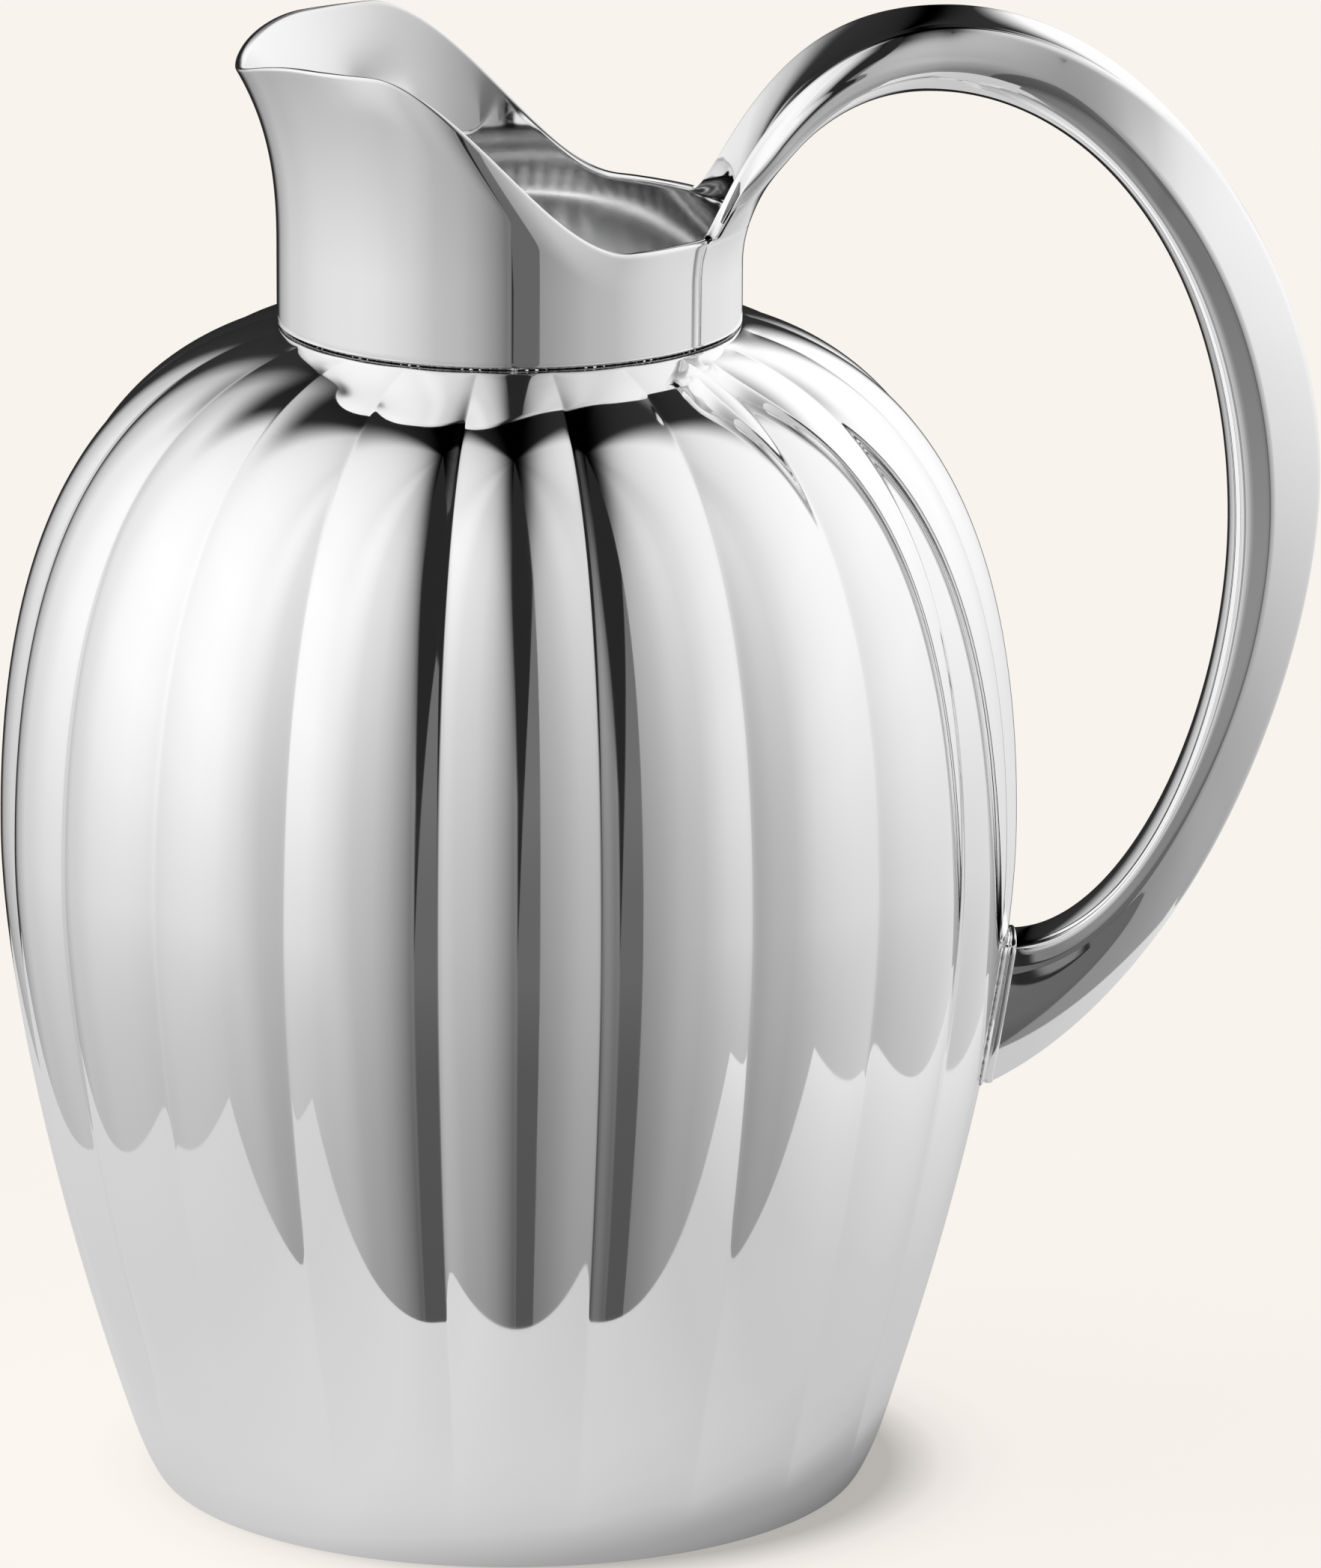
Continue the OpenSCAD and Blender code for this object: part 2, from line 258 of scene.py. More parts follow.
def build_belly(material):
    per_lobe = 28
    across = np.sin(np.linspace(-90, 90, per_lobe, endpoint=False) * math.pi / 180)
    centres = np.arange(LOBES)[:, None] * 360 / LOBES
    angles = (centres + across[None, :] * 180 / LOBES).ravel()
    seat_r = NECK_R - NECK_WALL
    top_edge = [[NECK_R - 0.06, SEAM_Z - 0.01], [NECK_R - 0.2, SEAM_Z], [seat_r, SEAM_Z]]
    points = np.concatenate([
        round_rings([[PAN_R, 0.15], [PAN_R + 0.15, 0], [BASE_R - 1, 0]], angles),
        belly_points(np.linspace(0, 1.992, 128), 0, angles),
        round_rings(top_edge + [[seat_r, SEAM_Z - WALL]], angles),
        belly_points(np.linspace(1.98, 0.05, 34), WALL, angles),
        round_rings([[PAN_R + 0.5, WALL], [PAN_R, WALL]], angles),
    ])
    return ring_piece("belly", points, material, "body_shell")


# ---- base ---------------------------------------------------------------------


def build_base_pan(material):
    """The disc that closes the base, with rounded edges and a shallow turned dish below."""
    angles = np.linspace(0, 360, 192, endpoint=False)
    r = PAN_R - 0.4
    below = [[r * t, 0.12 + 0.25 * (1 - ease(0.8, 0.96, t))] for t in np.linspace(0.01, 0.985, 60)]
    edge = [[r - 0.2, 0.03], [r, 0.2], [r, PAN_T - 0.2], [r - 0.2, PAN_T]]
    above = [[r * t, PAN_T] for t in np.linspace(0.98, 0.01, 20)]
    points = round_rings(below + edge + above, angles)
    normals = grid_normals(points, False, True)
    return bar_piece("base_disc", points, normals, material, "base_pan")


def weld_ring(name, centre_r, centre_z, half_w, half_h, ripples, tack, material, stands_for):
    """A ring of weld with the scales of a real bead, and a tack on the near side."""
    angles = np.linspace(0, 360, 1440, endpoint=False)
    turn = np.radians(angles)
    beat = np.abs(np.sin(turn * ripples / 2 + 0.6 * np.sin(turn * 7)))
    swell = 0.82 + 0.12 * beat + 0.06 * np.sin(turn * 23 + 1.3)
    around = np.linspace(0, 360, 12, endpoint=False)
    lump = tack * np.exp(-((angles - 270) / 1.1) ** 2)
    r = centre_r + half_w * np.cos(np.radians(around))[:, None] * swell[None, :] + lump
    z = centre_z + half_h * np.sin(np.radians(around))[:, None] * swell[None, :]
    points = np.concatenate([polar(r, angles[None, :]), z[..., None]], axis=-1)
    return ring_piece(name, points, material, stands_for)


# ---- collar -------------------------------------------------------------------


def rim_z(f):
    """Height of the rim at an angle from the spout."""
    drop = TIP_DROP * (1 - ease(0, 38, f))
    return mix(RIM_HIGH_Z, RIM_LOW_Z, ease(55, 120, f)) - drop


def collar_r(f, z, curled=True):
    """Radius of the collar at an angle from the spout and a height; the rim's edge curls in."""
    rise = np.maximum(0, (z - FLARE_Z) / (RIM_HIGH_Z - TIP_DROP - FLARE_Z))
    flare = FLARE * (1 - 0.35 * ease(30, 110, f)) * rise**2
    beak = BEAK * (0.5 + 0.5 * np.cos(np.radians(np.minimum(f, 75) * 2.4))) ** 2 * rise**3
    near_rim = np.maximum(0, 1 - np.maximum(0, rim_z(f) - z) / CURL_REACH)
    curl = CURL * near_rim**2 * ease(35, 60, f) * (1 - ease(100, 125, f)) * curled
    back = np.cos(np.radians(np.clip((180 - f) * 90 / 50, 0, 90))) ** 2
    climb = np.maximum(0, (z - BACK_FLARE_Z) / (ROOT_Z - BACK_FLARE_Z))
    return NECK_R + flare + beak - curl + BACK_FLARE * back * climb**2


def wall_point(angle, z, inset):
    """Point on the collar's wall at an angle from the handle and a height."""
    f = 180 - np.abs((angle + 180) % 360 - 180)
    r = collar_r(f, z, inset == 0) - inset
    return np.concatenate([polar(r, angle), np.asarray(z + 0 * r)[..., None]], axis=-1)


def build_collar(material):
    """The collar: two walls and a rounded lip, cut level below the handle's root."""
    sector = np.linspace(-ROOT_ANGLE, ROOT_ANGLE, 57)
    rest = np.linspace(ROOT_ANGLE, 360 - ROOT_ANGLE, 233)
    angles = np.concatenate([sector, rest])
    f = 180 - np.abs((angles + 180) % 360 - 180)
    lip_z = rim_z(f) - LIP_R
    up = np.linspace(0, 1, 44)[:, None]
    outer_z = mix(COLLAR_Z + 0.12, lip_z[None, :], up)
    outer = wall_point(np.broadcast_to(angles, outer_z.shape), outer_z, 0)
    inner_z = mix(lip_z[None, :], COLLAR_Z + 0.1, np.linspace(0, 1, 30)[:, None])
    inner = wall_point(np.broadcast_to(angles, inner_z.shape), inner_z, NECK_WALL)
    rise_out = unit(outer[-1] - outer[-2])
    rise_in = unit(inner[0] - inner[1])
    pull = LIP_R * 4 / 3
    lip = cubic(
        outer[-1], outer[-1] + rise_out * pull, inner[0] + rise_in * pull, inner[0],
        np.broadcast_to(np.linspace(0, 1, 12)[1:-1, None], (10, len(angles))),
    )
    bottom = round_rings(
        [[NECK_R - NECK_WALL + 0.1, COLLAR_Z], [NECK_R - 0.12, COLLAR_Z]], angles
    )
    points = np.concatenate([outer, lip, inner, bottom])
    normals = grid_normals(points, True, True)
    flat = slice(0, len(sector))
    top = len(outer)
    level = ROOT_Z - ROOT_BAND
    points[:top, flat] = wall_point(
        np.broadcast_to(sector, (top, len(sector))), mix(COLLAR_Z + 0.12, level, up) + 0 * sector, 0
    )
    points[top + 10:-2, flat] = wall_point(
        np.broadcast_to(sector, (30, len(sector))),
        mix(level, COLLAR_Z + 0.1, np.linspace(0, 1, 30)[:, None]) + 0 * sector, NECK_WALL,
    )
    across = np.linspace(0, 1, 12)[1:-1, None, None]
    points[top:top + 10, flat] = mix(points[top - 1, flat], points[top + 10, flat], across)
    return ring_piece("collar", points, material, "neck_collar", normals)


# ---- handle -------------------------------------------------------------------


def crest_r(z):
    """Radius of a lobe's crest at a height below the widest ring."""
    s = np.linspace(0, 1, 4001)
    curve = profile(s)
    return np.interp(z, curve[:, 1], curve[:, 0])


FOOT_LOW = np.array([crest_r(FOOT_LOW_Z) + SADDLE_T, FOOT_LOW_Z])
FOOT_HIGH = np.array([crest_r(FOOT_HIGH_Z) + SADDLE_T, FOOT_HIGH_Z])
FOOT_RUN = np.array([math.cos(math.radians(FOOT_SLOPE)), math.sin(math.radians(FOOT_SLOPE))])
INNER_ROOT = wall_point(np.array(0.0), np.array(ROOT_Z), 0)[[0, 2]]
INNER_CROWN = CROWN - np.array([4, CROWN_DEPTH])
INNER_GRIP = GRIP - np.array([GRIP_DEPTH, 7])


def three_parts(first, second, third, u):
    """Joins three cubic curves: u runs 0 to 1 along the first, 1 to 2 and 2 to 3."""
    u = np.asarray(u, float)
    a = cubic(*first, np.clip(u, 0, 1))
    b = cubic(*second, np.clip(u - 1, 0, 1))
    c = cubic(*third, np.clip(u - 2, 0, 1))
    inside = u[..., None]
    return np.where(inside <= 1, a, np.where(inside <= 2, b, c))


def outer_edge(u):
    """Line of the ridges, and of the keel that they run into, as [x, z]."""
    return three_parts(
        (RIDGE_START, RIDGE_START + [3, 0], CROWN - [27, 0], CROWN),
        (CROWN, CROWN + [29, 0], GRIP + [0, 34.5], GRIP),
        (GRIP, GRIP - [0, 29], FOOT_LOW + 32 * FOOT_RUN, FOOT_LOW),
        u,
    )


def inner_edge(u):
    """Line of the handle's inner side, matched to the outer edge by u."""
    return three_parts(
        (INNER_ROOT, INNER_ROOT + [1.9, 5.7], INNER_CROWN - [17, 0], INNER_CROWN),
        (INNER_CROWN, INNER_CROWN + [26, 0], INNER_GRIP + [0, 37.5], INNER_GRIP),
        (INNER_GRIP, INNER_GRIP - [0, 28], FOOT_HIGH + [17, 0], FOOT_HIGH),
        u,
    )


def stem_half_width(u):
    """Half the distance between the ridges up to the crown; past it, the crown's own."""
    x = outer_edge(np.minimum(u, 1))[..., 0]
    root = STEM_HALF_W + (ROOT_HALF_W - STEM_HALF_W) * np.exp(-(x - RIDGE_START[0]) / 2.6)
    return mix(root, CROWN_HALF_W, ease(40, CROWN[0], x))


def ridge_half_width(u):
    """Half the distance between the ridges: they close on each other past the crown."""
    keel = mix(KEEL_HALF_W, KEEL_FOOT_HALF_W, ease(1.9, 2.7, u))
    past_crown = mix(stem_half_width(u), 9.0, ease(1, 1.25, u))
    return mix(past_crown, keel, ease(1.2, 1.6, u))


def widest(u):
    """Half of the width where the two halves meet, and that place's share of the depth."""
    along = (outer_edge(np.minimum(u, 2))[..., 0] - RIDGE_START[0]) / (GRIP[0] - RIDGE_START[0])
    extra = (ROOT_HALF_W + 0.4 - GRIP_HALF_W) * (1 - along) ** 1.8
    half = mix(GRIP_HALF_W + extra, FOOT_HALF_W, ease(2.4, 3, u))
    share = mix(mix(0.16, 0.5, ease(0, 0.8, u)), 0.55, ease(1, 1.6, u))
    share = mix(share, 0.8, ease(2.2, 3, u))
    return half, share


def depth(u):
    return np.linalg.norm(inner_edge(u) - outer_edge(u), axis=-1)


def hollow(u):
    """How far the face between the ridges is dished."""
    return mix(depth(u) - NECK_WALL - 0.2, 0.9, ease(0, 0.75, u)) * (1 - ease(1.3, 1.6, u))


def place(u, section):
    """Turns [across, depth] pairs into points: section is rows by columns by two."""
    top = outer_edge(u)[:, None]
    low = inner_edge(u)[:, None]
    down = unit(low - top)
    at = top + down * section[..., 1:]
    return np.stack([at[..., 0], section[..., 0], at[..., 1]], axis=-1)


def pair(a, b):
    return np.stack(np.broadcast_arrays(a, b), axis=-1)


CHANNEL = np.linspace(0, 1, 13)
RIDGE = np.linspace(0, 1, 10)[1:-1]
SIDE = np.linspace(0, 1, 12)
TURN = np.linspace(0, 1, 8)[1:-1]
FACET = np.linspace(0, 1, 7)[:-1]
INNER = np.linspace(0, 1, 15)
CORNER = 0.85


def channel_section(u):
    """Half of the face between the ridges, from its middle out."""
    w = (ridge_half_width(u) - CORNER)[:, None]
    return pair(w * CHANNEL, hollow(u)[:, None] * (1 - CHANNEL**2))


def side_section(u):
    """From below the ridge down the side, round the widest line and in to the middle."""
    ridge_w = ridge_half_width(u)
    wide, share = widest(u)
    d = depth(u)
    corner = pair(ridge_w, 0 * u)
    bend = pair(wide, d * share)
    run = unit(bend - corner)
    start = corner + run * CORNER
    turn_r = mix(1.5, 0.6, ease(1, 1.5, u))[:, None]
    lean = np.radians(mix(mix(0, 32, ease(0, 0.6, u)), 5, ease(1, 1.5, u)))
    inward = np.stack([-np.sin(lean), np.cos(lean)], axis=-1)
    before = bend - run * turn_r
    after = bend + inward * turn_r
    out = np.stack([run[:, 1], -run[:, 0]], axis=-1)
    length = np.linalg.norm(before - start, axis=-1)[:, None]
    round_side = 0.012 + 0.08 * ease(0.25, 0.6, u) * (1 - ease(0.9, 1.2, u))
    round_side = round_side + 0.05 * ease(2.4, 2.9, u)
    bulge = out * length * round_side[:, None]
    third = (before - start) / 3
    side = cubic(
        start[:, None], (start + third + bulge)[:, None], (before - third + bulge)[:, None],
        before[:, None], np.broadcast_to(SIDE, (len(u), len(SIDE))),
    )
    turn = cubic(
        before[:, None], (before + run * turn_r * 0.6)[:, None],
        (after - inward * turn_r * 0.6)[:, None], after[:, None],
        np.broadcast_to(TURN, (len(u), len(TURN))),
    )
    rest = d[:, None] - after[:, 1:]
    shoulder = after + inward * rest * mix(0.05, 0.48, ease(1, 1.5, u))[:, None]
    facet = mix(after[:, None], shoulder[:, None], FACET[None, :, None])
    rest = d[:, None] - shoulder[:, 1:]
    middle = pair(0 * u, d)
    inner = cubic(
        shoulder[:, None], (shoulder + inward * rest * 0.62)[:, None],
        (middle + pair(wide * 0.55, 0 * u))[:, None], middle[:, None],
        np.broadcast_to(INNER, (len(u), len(INNER))),
    )
    return np.concatenate([side, turn, facet, inner], axis=1)


def join_to_collar(u, points, shares, inset, reach):
    """Bends the first rows so that they leave the collar's wall in line with it."""
    angle = ROOT_ANGLE * shares
    height = np.full_like(angle, ROOT_Z)
    target = wall_point(angle, height, inset)
    climb = unit(wall_point(angle, height + 0.01, inset) - wall_point(angle, height - 0.01, inset))
    a = np.radians(angle)
    along = np.stack([np.sin(a), -np.cos(a), 0 * a], axis=-1)
    turn = (shares**3)[:, None]
    heading = 16 * unit(mix(climb, along, turn))
    start = points[0]
    start_run = (points[1] - points[0]) / (u[1] - u[0])
    t = np.clip(u / reach, 0, 1)[:, None, None]
    keep_place = 1 - ease(0, 1, t)
    keep_run = reach * t * (1 - t) ** 2
    return points + keep_place * (target - start) + keep_run * (heading - start_run)


def edge_tangent(points, normals, inside, edge):
    """Direction across an edge line, in the surface's plane and away from its inside."""
    run = np.gradient(points[:, edge], axis=0)
    across = unit(np.cross(normals[:, edge], run))
    outward = points[:, edge] - points[:, inside]
    flip = np.sign(np.sum(across * outward, axis=-1, keepdims=True))
    return across * np.where(flip == 0, 1, flip)


def handle_skin():
    """The handle's whole skin: one row of points round it at each station."""
    u = np.concatenate([
        [0, 0.0005], np.linspace(0.004, 0.5, 90), np.linspace(0.51, 2.9, 230),
        np.linspace(2.905, 3, 16),
    ])
    face = place(u, channel_section(u))
    side = place(u, side_section(u))
    spread = np.linalg.norm(np.diff(side[0], axis=0), axis=-1)
    shares = 1 - np.concatenate([[0], np.cumsum(spread)]) / spread.sum()
    face = join_to_collar(u, face, CHANNEL, NECK_WALL, 0.42)
    side = join_to_collar(u, side, shares, 0, 0.5)
    face_normals = grid_normals(face, False, False)
    side_normals = grid_normals(side, False, False)
    a = face[:, -1]
    b = side[:, 0]
    out_a = edge_tangent(face, face_normals, -2, -1)
    out_b = edge_tangent(side, side_normals, 1, 0)
    up = np.array([0, 0, 1.0])
    settle = ease(0, 0.03, u)[:, None]
    out_a = unit(mix(up, out_a, settle))
    out_b = unit(mix(up, out_b, settle))
    gap = np.linalg.norm(b - a, axis=-1)[:, None]
    open_turn = np.arccos(np.clip(np.sum(out_a * -out_b, axis=-1), -1, 1))[:, None]
    pull = gap * (4 / 3) * np.tan(open_turn / 4) / (2 * np.sin(np.maximum(open_turn, 0.2) / 2))
    ridge = cubic(
        a[:, None], (a + out_a * pull)[:, None], (b + out_b * pull)[:, None], b[:, None],
        np.broadcast_to(RIDGE, (len(u), len(RIDGE))),
    )
    half = np.concatenate([face, ridge, side], axis=1)
    other = half[:, -2:0:-1] * np.array([1, -1, 1])
    return np.concatenate([half, other], axis=1) * np.array([1, -1, 1])


def strip_piece(name, skin, normals, columns, material, stands_for):
    """A closed piece of sheet under some columns of the handle's skin."""
    outer = skin[:, columns]
    out = normals[:, columns]
    inner = (outer - out * HANDLE_SHEET)[:, ::-1]
    points = np.concatenate([outer, inner], axis=1)
    both = np.concatenate([out, -out[:, ::-1]], axis=1)
    return bar_piece(name, points, both, material, stands_for)


def build_handle(material):
    skin = handle_skin()
    normals = grid_normals(skin, False, True)
    total = skin.shape[1]
    turn_from = len(CHANNEL) + len(RIDGE) + len(SIDE) - 1
    turn_to = turn_from + len(TURN) + 1
    right_side = list(range(turn_from + 1))
    left_side = list(range(total - turn_from, total))
    outer = left_side + right_side
    inner = list(range(turn_to, total - turn_to + 1))
    right_turn = list(range(turn_from, turn_to + 1))
    left_turn = list(range(total - turn_to, total - turn_from + 1))
    strip_piece("handle_outer_half", skin, normals, outer, material, "handle_back_plate")
    strip_piece("handle_inner_half", skin, normals, inner, material, "handle_inner_channel")
    strip_piece("handle_seam_right", skin, normals, right_turn, material, "handle_right_seam")
    strip_piece("handle_seam_left", skin, normals, left_turn, material, "handle_left_seam")
    return skin


def build_root_band(material):
    """The polished joint that carries the collar's wall into the handle's root."""
    angles = np.linspace(ROOT_ANGLE, -ROOT_ANGLE, 57)
    heights = np.linspace(ROOT_Z - ROOT_BAND, ROOT_Z, 3)
    outer = np.stack([wall_point(angles, z + 0 * angles, 0) for z in heights], axis=1)
    inner = np.stack([wall_point(angles, z + 0 * angles, NECK_WALL) for z in heights[::-1]], axis=1)
    points = np.concatenate([outer, inner], axis=1)
    low = np.stack([wall_point(angles, z - 0.01 + 0 * angles, 0) for z in heights], axis=1)
    climb = unit(outer - low)
    a = np.radians(angles)
    along = np.stack([-np.sin(a), np.cos(a), 0 * a], axis=-1)[:, None]
    out = np.cross(along, climb)
    normals = np.concatenate([out, -out[:, ::-1]], axis=1)
    return bar_piece(
        "handle_root_joint", points, normals, material, "handle_root_braze"
    )


# ---- foot of the handle ---------------------------------------------------------


def belly_x(z, y):
    """Where the belly's surface is at a height and a distance off the lobe's crest."""
    r = crest_r(z)
    angle = np.degrees(np.arcsin(y / r))
    place_s = np.interp(z, profile(np.linspace(0, 1, 2001))[:, 1], np.linspace(0, 1, 2001))
    return r * (1 - lobe_cut(angle, place_s)) * np.cos(np.radians(angle))


def foot_outline(skin, grow):
    """The handle's end outline, grown by some distance in its own plane."""
    ring = skin[-1]
    run = unit(np.roll(ring, -1, axis=0) - np.roll(ring, 1, axis=0))
    plane = unit(np.array([FOOT_HIGH[0] - FOOT_LOW[0], 0, FOOT_HIGH[1] - FOOT_LOW[1]]))
    across = np.cross(np.array([0, 1.0, 0]), plane)
    out = np.cross(run, across)
    centre = ring.mean(axis=0)
    if np.sum(out * (ring - centre)) < 0:
        out = -out
    return ring + out * grow


def on_belly(outline, lift):
    x = belly_x(outline[:, 2], outline[:, 1]) + lift
    return np.stack([x, outline[:, 1], outline[:, 2]], axis=-1)


def build_saddle(skin, material):
    """The strip between the handle's foot and the belly, a little proud of the handle."""
    rows = []
    for share, grow in ((0, 0.0), (0.02, 0.22), (0.12, 0.34), (0.45, 0.36), (0.6, 0.3),
                        (0.68, 0.12), (0.76, 0.28), (1, 0.45)):
        outline = foot_outline(skin, grow)
        rows.append(mix(outline, on_belly(outline, 0.03), share))
    points = np.array(rows)
    normals = grid_normals(points, False, True)
    return bar_piece(
        "handle_saddle", points, normals, material, "handle_foot_saddle"
    )


def build_foot_braze(skin, material):
    """A thin uneven bead of braze where the saddle meets the belly."""
    outline = foot_outline(skin, 0.45)
    step = np.linalg.norm(np.roll(outline, -1, axis=0) - outline, axis=-1)
    path = np.concatenate([[0], np.cumsum(step)])
    even = np.linspace(0, path[-1], 320, endpoint=False)
    closed = np.concatenate([outline, outline[:1]])
    line = np.stack([np.interp(even, path, closed[:, k]) for k in range(3)], axis=-1)
    line = on_belly(line, 0.0)
    run = unit(np.roll(line, -1, axis=0) - np.roll(line, 1, axis=0))
    out = unit(line * np.array([1, 1, 0.0]))
    side = unit(np.cross(out, run))
    turn = 2 * math.pi * np.arange(320) / 320
    size = 0.26 + 0.05 * np.sin(19 * turn) + 0.05 * np.sin(31 * turn + 1) + 0.03 * np.sin(53 * turn)
    around = np.linspace(0, 2 * math.pi, 10, endpoint=False)
    rows = [line + size[:, None] * (out * math.cos(b) * 0.8 + side * math.sin(b)) for b in around]
    points = np.array(rows)
    return ring_piece("foot_braze", points, material, "handle_foot_braze")


# ---- metals -------------------------------------------------------------------


class Nodes:
    """Short calls for building a node tree."""

    def __init__(self, tree):
        self.tree = tree
        tree.nodes.clear()

    def add(self, kind, inputs=None, **settings):
        node = self.tree.nodes.new(kind)
        for name, value in settings.items():
            setattr(node, name, value)
        for name, value in (inputs or {}).items():
            self.put(node, name, value)
        return node

    def put(self, node, name, value):
        socket = node.inputs[name]
        if isinstance(value, bpy.types.NodeSocket):
            self.tree.links.new(value, socket)
        else:
            socket.default_value = value

    def math(self, operation, *values):
        node = self.add("ShaderNodeMath", operation=operation)
        for k, value in enumerate(values):
            self.put(node, k, value)
        return node.outputs[0]

    def span(self, value, from_low, from_high, to_low, to_high):
        """Value moved from one range to another, held at its ends, with smooth ends."""
        node = self.add("ShaderNodeMapRange", interpolation_type="SMOOTHSTEP")
        for name, number in (("Value", value), ("From Min", from_low), ("From Max", from_high),
                             ("To Min", to_low), ("To Max", to_high)):
            self.put(node, name, number)
        return node.outputs["Result"]

    def ramp(self, value, stops, low, top):
        """Brightness read from stops of (place, brightness) between low and top."""
        node = self.add("ShaderNodeValToRGB")
        place = self.add("ShaderNodeMapRange", {"Value": value, "From Min": low, "From Max": top})
        self.put(node, "Fac", place.outputs["Result"])
        ramp = node.color_ramp
        while len(ramp.elements) > 1:
            ramp.elements.remove(ramp.elements[-1])
        for k, (at, bright) in enumerate(stops):
            spot = (at - low) / (top - low)
            element = ramp.elements[0] if k == 0 else ramp.elements.new(spot)
            element.position = spot
            element.color = (bright, bright, bright, 1)
        return node.outputs["Color"]

    def noise(self, vector, scale, detail=3.0, roughness=0.5):
        node = self.add("ShaderNodeTexNoise", {
            "Vector": vector, "Scale": scale, "Detail": detail, "Roughness": roughness,
        })
        return node.outputs["Fac"]

    def two_tone(self, share, first, second):
        node = self.add("ShaderNodeMix", {"Factor": share}, data_type="RGBA")
        node.inputs["A"].default_value = (*first, 1)
        node.inputs["B"].default_value = (*second, 1)
        return node.outputs["Result"]

    def bumps(self, heights, strength, distance):
        node = self.add("ShaderNodeBump", {
            "Strength": strength, "Distance": distance, "Height": heights,
        })
        return node.outputs["Normal"]

    def surface(self, shader):
        self.put(self.add("ShaderNodeOutputMaterial"), "Surface", shader)

    def metal(self, colour, rough, normal):
        """Ends a material with a metal of this colour, roughness and normal."""
        shader = self.add("ShaderNodeBsdfPrincipled", {
            "Base Color": colour, "Metallic": 1.0, "Roughness": rough, "Normal": normal,
        })
        self.surface(shader.outputs["BSDF"])


def new_material(name):
    material = bpy.data.materials.new(name)
    material.use_nodes = True
    return material, Nodes(material.node_tree)


def satin_share(n, where):
    """How satin the inside is: most in the spout, less in the belly, not in between."""
    place = n.add("ShaderNodeSeparateXYZ", {"Vector": where})
    flat = n.add("ShaderNodeCombineXYZ", {"X": place.outputs["X"], "Y": place.outputs["Y"]})
    aim = n.add("ShaderNodeNewGeometry").outputs["Normal"]
    dot = n.add("ShaderNodeVectorMath", {0: flat.outputs["Vector"], 1: aim}, operation="DOT_PRODUCT")
    inward = n.math("LESS_THAN", dot.outputs["Value"], 0)
    low = n.span(place.outputs["Z"], 0.180, 0.192, 0.7, 0)
    near = n.math("LESS_THAN", place.outputs["X"], (BELLY_R - 1) * MM)
    high = n.span(place.outputs["Z"], 0.196, 0.208, 0, 1.4)
    spout_side = n.math("LESS_THAN", place.outputs["X"], 0)
    where_in = n.math("ADD", n.math("MULTIPLY", low, near), n.math("MULTIPLY", high, spout_side))
    return n.math("MULTIPLY", inward, where_in)


def polished_steel():
    """Mirror polish: faint haze, hairline wipe marks and the waves of pressed sheet.

    The belly's and the spout's inside are more satin.
    """
    material, n = new_material("polished_steel")
    where = n.add("ShaderNodeTexCoord").outputs["Object"]
    inside = satin_share(n, where)
    haze = n.noise(where, 55, 4)
    cloud = n.noise(where, 14, 2)
    stretched = n.add("ShaderNodeMapping", {"Vector": where, "Scale": (260, 260, 2600)})
    lines = n.noise(stretched.outputs["Vector"], 1, 2)
    wipe = n.span(lines, 0.6, 0.8, 0, 1)
    rough = n.math("ADD", n.span(haze, 0.35, 0.75, 0.028, 0.05), n.math("MULTIPLY", wipe, 0.02))
    rough = n.math("ADD", rough, n.span(cloud, 0.4, 0.7, 0, 0.012))
    rough = n.math("ADD", rough, n.math("MULTIPLY", inside, 0.15))
    tone = n.span(cloud, 0.3, 0.7, 0, 1)
    colour = n.two_tone(tone, (0.93, 0.93, 0.93), (0.965, 0.965, 0.965))
    waves = n.noise(where, 70, 1)
    grain = n.noise(where, 2400, 2)
    heights = n.math("ADD", waves, n.math("MULTIPLY", grain, 0.004))
    heights = n.math("ADD", heights, n.math("MULTIPLY", wipe, 0.0015))
    n.metal(colour, rough, n.bumps(heights, 1.0, 0.00001))
    return material


def satin_steel():
    """Turned satin: fine rings round the axis, with scuffs where it stands."""
    material, n = new_material("satin_base")
    where = n.add("ShaderNodeTexCoord").outputs["Object"]
    parts = n.add("ShaderNodeSeparateXYZ", {"Vector": where})
    x, y = parts.outputs["X"], parts.outputs["Y"]
    radius = n.math("SQRT", n.math("ADD", n.math("MULTIPLY", x, x), n.math("MULTIPLY", y, y)))
    rings = n.noise(n.add("ShaderNodeCombineXYZ", {"X": radius}).outputs["Vector"], 2600, 3)
    scuff = n.span(n.noise(where, 240, 5, 0.7), 0.55, 0.75, 0, 1)
    rough = n.math("ADD", n.span(rings, 0.3, 0.7, 0.24, 0.36), n.math("MULTIPLY", scuff, 0.12))
    colour = n.two_tone(scuff, (0.74, 0.74, 0.735), (0.6, 0.6, 0.595))
    n.metal(colour, rough, n.bumps(rings, 0.5, 0.00003))
    return material


def weld_steel():
    """Partly polished weld: darker, with pores and scales."""
    material, n = new_material("weld_steel")
    where = n.add("ShaderNodeTexCoord").outputs["Object"]
    scale = n.noise(where, 900, 4, 0.6)
    pores = n.span(n.noise(where, 2200, 2), 0.58, 0.7, 0, 1)
    rough = n.span(scale, 0.3, 0.7, 0.16, 0.42)
    heights = n.math("SUBTRACT", scale, n.math("MULTIPLY", pores, 0.4))
    colour = n.two_tone(pores, (0.52, 0.52, 0.515), (0.2, 0.2, 0.2))
    n.metal(colour, rough, n.bumps(heights, 0.6, 0.00006))
    return material


# ---- studio -------------------------------------------------------------------

CREAM = (0.939, 0.896, 0.847, 1)
TABLE_LOW = (-158.0, -106.0)
TABLE_HIGH = (195.0, 260.0)


